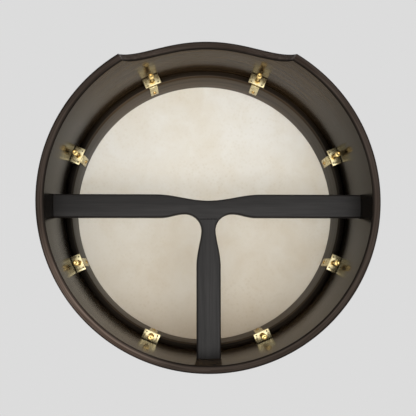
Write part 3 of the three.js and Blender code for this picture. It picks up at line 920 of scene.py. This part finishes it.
def tuning_screw_mesh():
    """An M5 socket-cap screw: knurled head, hexagon socket and a cut thread."""
    neck = SCREW_HEAD_Y + CAP_HEIGHT
    outline = [(0, SCREW_HEAD_Y), (CAP_R - 0.7 * MM, SCREW_HEAD_Y)]
    outline += [(CAP_R - 0.2 * MM, SCREW_HEAD_Y + 0.2 * MM), (CAP_R, SCREW_HEAD_Y + 0.7 * MM)]
    outline += [(CAP_R, neck - 0.6 * MM), (CAP_R - 0.25 * MM, neck)]
    outline += [(M5_R + 0.1 * MM, neck), (M5_R, neck + 0.4 * MM)]
    thread_start = neck + 1.5 * MM
    step = M5_PITCH / 6
    rows = int((SCREW_TIP_Y - 0.8 * MM - thread_start) / step)
    outline += [(M5_R - 0.02 * MM, thread_start + step * i) for i in range(rows)]
    outline += [(M5_R - 0.7 * MM, SCREW_TIP_Y), (0, SCREW_TIP_Y)]

    def turned(radius, y, angle):
        if y < neck - 0.3 * MM and radius >= CAP_R - 0.01 * MM:
            return radius - 0.11 * MM * (0.5 + 0.5 * math.cos(angle * 36))
        if abs(radius - (M5_R - 0.02 * MM)) < 1e-9:
            phase = (y / M5_PITCH - angle / (2 * math.pi)) % 1.0
            return radius - 0.42 * MM * abs(2 * phase - 1)
        return radius

    mesh = spindle("tuning_screw", outline, 72, turned, 50)
    open_y, floor_y, point_y = SCREW_HEAD_Y - MM, SCREW_HEAD_Y + 2.5 * MM, SCREW_HEAD_Y + 3.2 * MM
    socket = spindle("socket", [(0, open_y), (SOCKET_R, open_y), (SOCKET_R, floor_y), (0, point_y)], 6)
    mesh = carve(mesh, [socket], 30)
    mesh.transform(Matrix.Translation((0, 0, TUNING_SCREW_RADIUS)))
    return mesh


def ring_plate_mesh():
    back, end = LIP_BACK_Y, RING_PLATE_END_Y
    inner, outer, lip = RING_PLATE_INNER_Z, RING_PLATE_OUTER_Z, LIP_BACK_Y + 1.8 * MM
    bend = 1.9 * MM
    outline = [(LIP_OUTER_Z, back), (LIP_OUTER_Z, lip), (outer, lip), (outer, end), (inner, end)]
    for a in BEND_ANGLES:
        outline.append((inner + bend - bend * math.cos(a), back + bend - bend * math.sin(a)))
    return strip("ring_plate", outline, RING_PLATE_WIDTH, 0.3 * MM)


def wood_screw_mesh(seat_z, y, length):
    """A round-headed screw with a crossed recess, its head towards the drum axis."""
    head_r, head_h = 3.2 * MM, 1.9 * MM
    turns = [math.radians(a) for a in range(15, 91, 15)]
    dome = [(head_r * math.sin(a), -head_h * math.cos(a)) for a in turns]
    outline = [(0, -head_h), *dome, (head_r, 0), (1.5 * MM, 0), (1.5 * MM, length - 2 * MM), (0, length)]
    mesh = spindle("wood_screw", outline, 32)
    arms = [block((4 * MM, 2 * MM, MM), (0, -head_h, 0)), block((MM, 2 * MM, 4 * MM), (0, -head_h, 0))]
    mesh = carve(mesh, arms)
    mesh.transform(Matrix.Rotation(math.radians(23), 4, "Y"))
    mesh.transform(Matrix.Rotation(math.pi / 2, 4, "X"))
    mesh.transform(Matrix.Translation((0, y, seat_z - 0.1 * MM)))
    return mesh


def make_stations():
    leg_face = BRACKET_WALL_Z - BRACKET_THICKNESS
    bracket_screw = wood_screw_mesh(leg_face, BRACKET_SCREW_Y, 10 * MM)
    ring_screw = wood_screw_mesh(RING_PLATE_INNER_Z, RING_SCREW_Y, 8 * MM)
    parts = [
        ("bracket", bracket_mesh(), BRASS_PLATE, "brass_plate", "frame"),
        ("bracket_screw", bracket_screw, BRASS_SCREW, "brass_screw", "frame"),
        ("bracket_nut", nut_mesh(), BRASS_SCREW, "brass_screw", "frame"),
        ("tuning_screw", tuning_screw_mesh(), BRASS_SCREW, "brass_screw", None),
        ("ring_plate", ring_plate_mesh(), BRASS_PLATE, "brass_plate", "tuning_ring"),
        ("ring_plate_screw", ring_screw, BRASS_SCREW, "brass_screw", "tuning_ring"),
    ]
    for number, angle in STATIONS:
        for kind, mesh, material, slot, body in parts:
            node = f"{kind}_{number}"
            show(f"{node}_brass", mesh, material, [node], body or node, angle)


# ---- Floor and light ----

BACKDROP = (0.716, 0.716, 0.716)
FLOOR_R = 1.25
FLOOR_Z = -0.62


def make_floor():
    """A pale disc well below the drum, which fades into the backdrop's colour at its edge."""
    centre = Matrix.Translation((0, 0.05, FLOOR_Z))
    bm = bmesh.new()
    bmesh.ops.create_circle(bm, cap_ends=True, segments=96, radius=FLOOR_R, matrix=centre)
    mesh = bpy.data.meshes.new("floor")
    bm.to_mesh(mesh)
    bm.free()
    floor = bpy.data.objects.new("floor", mesh)
    bpy.context.scene.collection.objects.link(floor)
    material = bpy.data.materials.new("floor_paper")
    material.use_nodes = True
    tree = material.node_tree
    tree.nodes.clear()
    place = tree.nodes.new("ShaderNodeTexCoord")
    length = tree.nodes.new("ShaderNodeVectorMath")
    length.operation = "LENGTH"
    tree.links.new(place.outputs["Object"], length.inputs[0])
    fade = tree.nodes.new("ShaderNodeMapRange")
    fade.interpolation_type = "SMOOTHSTEP"
    fade.inputs["From Min"].default_value = 0.75
    fade.inputs["From Max"].default_value = 1.3
    tree.links.new(length.outputs["Value"], fade.inputs["Value"])
    paper = tree.nodes.new("ShaderNodeBsdfDiffuse")
    paper.inputs["Color"].default_value = (0.8, 0.8, 0.8, 1)
    glow = tree.nodes.new("ShaderNodeEmission")
    glow.inputs["Color"].default_value = (*BACKDROP, 1)
    mix = tree.nodes.new("ShaderNodeMixShader")
    tree.links.new(fade.outputs["Result"], mix.inputs["Fac"])
    tree.links.new(paper.outputs[0], mix.inputs[1])
    tree.links.new(glow.outputs[0], mix.inputs[2])
    output = tree.nodes.new("ShaderNodeOutputMaterial")
    tree.links.new(mix.outputs[0], output.inputs["Surface"])
    mesh.materials.append(material)


def area_light(name, place, size, power, colour=(1, 1, 1), aim=(0, 0.1, 0)):
    data = bpy.data.lights.new(name, "AREA")
    data.shape = "DISK"
    data.size = size
    data.energy = power
    data.color = colour
    light = bpy.data.objects.new(name, data)
    light.location = place
    light.rotation_mode = "QUATERNION"
    light.rotation_quaternion = (Vector(aim) - Vector(place)).to_track_quat("-Z", "Y")
    bpy.context.scene.collection.objects.link(light)


def make_light():
    world = bpy.data.worlds.new("studio")
    world.use_nodes = True
    world.node_tree.nodes["Background"].inputs["Color"].default_value = (*BACKDROP, 1)
    world.node_tree.nodes["Background"].inputs["Strength"].default_value = 1.0
    bpy.context.scene.world = world
    bpy.context.scene.view_settings.view_transform = "Standard"
    area_light("key", (0.26, -1.65, -0.82), 2.2, 34)
    area_light("behind_skin", (0.0, 0.9, 0.75), 0.6, 4)


make_shell()
make_t_bar()
make_bar_screws()
make_ring()
make_skin()
make_trim()
make_stations()
make_floor()
make_light()
